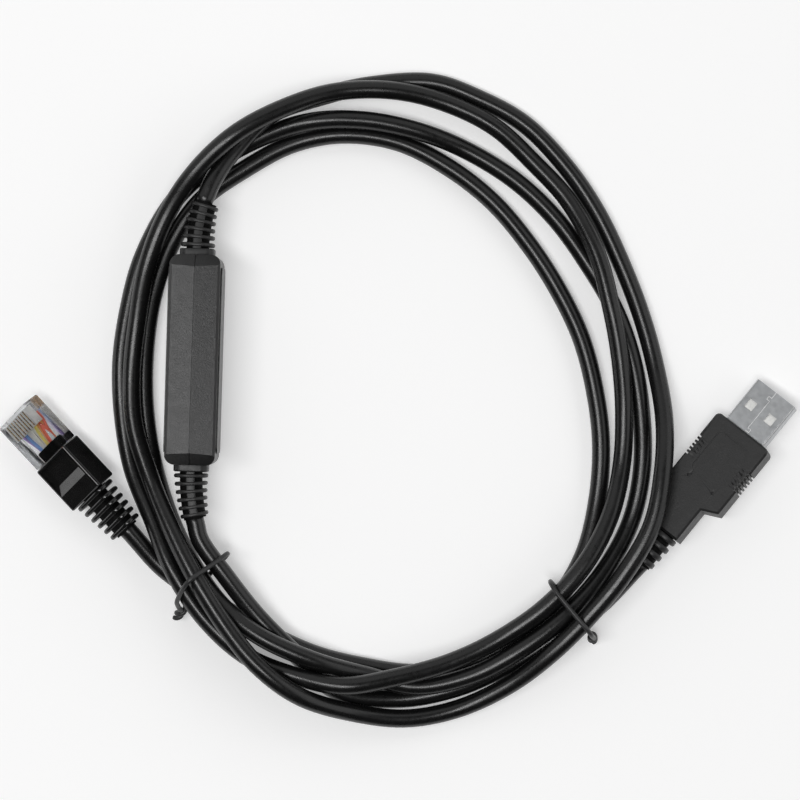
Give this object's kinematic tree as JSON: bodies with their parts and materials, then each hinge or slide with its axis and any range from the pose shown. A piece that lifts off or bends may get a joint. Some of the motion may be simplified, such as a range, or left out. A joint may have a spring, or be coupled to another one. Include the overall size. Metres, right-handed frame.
{
  "type": "serial console cable",
  "caption": "Coiled USB-A to modular plug console cable with a slim inline converter housing, ribbed strain reliefs and wire ties round the bundle.",
  "frame": {"origin": "On the surface that it lies on, at the middle of the box round all but the cable itself.", "axes": "+Z up from the surface; +Y is up in the picture and +X to its right, towards the USB plug."},
  "size_m": [0.1994, 0.164, 0.02],
  "materials": {
    "case_plastic": "fine spark-eroded texture, black",
    "cable_pvc": "smooth glossy soft PVC, black",
    "grip_plastic": "fine texture, black",
    "boot_plastic": "glossy, black",
    "plated_steel": "nickel-plated sheet steel, satin",
    "white_plastic": "satin, white",
    "clear_plastic": "clear polycarbonate",
    "gold": "gold-plated contacts",
    "tie_coating": "thin satin plastic coating on a wire, black",
    "wire_violet": "wire insulation",
    "wire_blue": "wire insulation",
    "wire_white": "wire insulation",
    "wire_yellow": "wire insulation",
    "wire_orange": "wire insulation",
    "wire_red": "wire insulation"
  },
  "bodies": {
    "root": {"converter_housing": "case_plastic", "converter_relief_usb_side": "cable_pvc", "converter_relief_plug_side": "cable_pvc", "usb_shell": "plated_steel", "usb_tongue": "white_plastic", "usb_grip": "grip_plastic", "plug_body": "clear_plastic", "plug_jacket_end": "cable_pvc", "plug_boot": "boot_plastic", "cord_usb_side": "cable_pvc", "cord_plug_side": "cable_pvc", "tie_left": "tie_coating", "tie_right": "tie_coating", "usb_contact_1": "gold", "usb_contact_2": "gold", "usb_contact_3": "gold", "usb_contact_4": "gold", "plug_contact_1": "gold", "plug_wire_1": "wire_violet", "plug_contact_2": "gold", "plug_wire_2": "wire_blue", "plug_contact_3": "gold", "plug_wire_3": "wire_white", "plug_contact_4": "gold", "plug_wire_4": "wire_white", "plug_contact_5": "gold", "plug_wire_5": "wire_white", "plug_contact_6": "gold", "plug_wire_6": "wire_yellow", "plug_contact_7": "gold", "plug_wire_7": "wire_orange", "plug_contact_8": "gold", "plug_wire_8": "wire_red"}
  },
  "joints": []
}
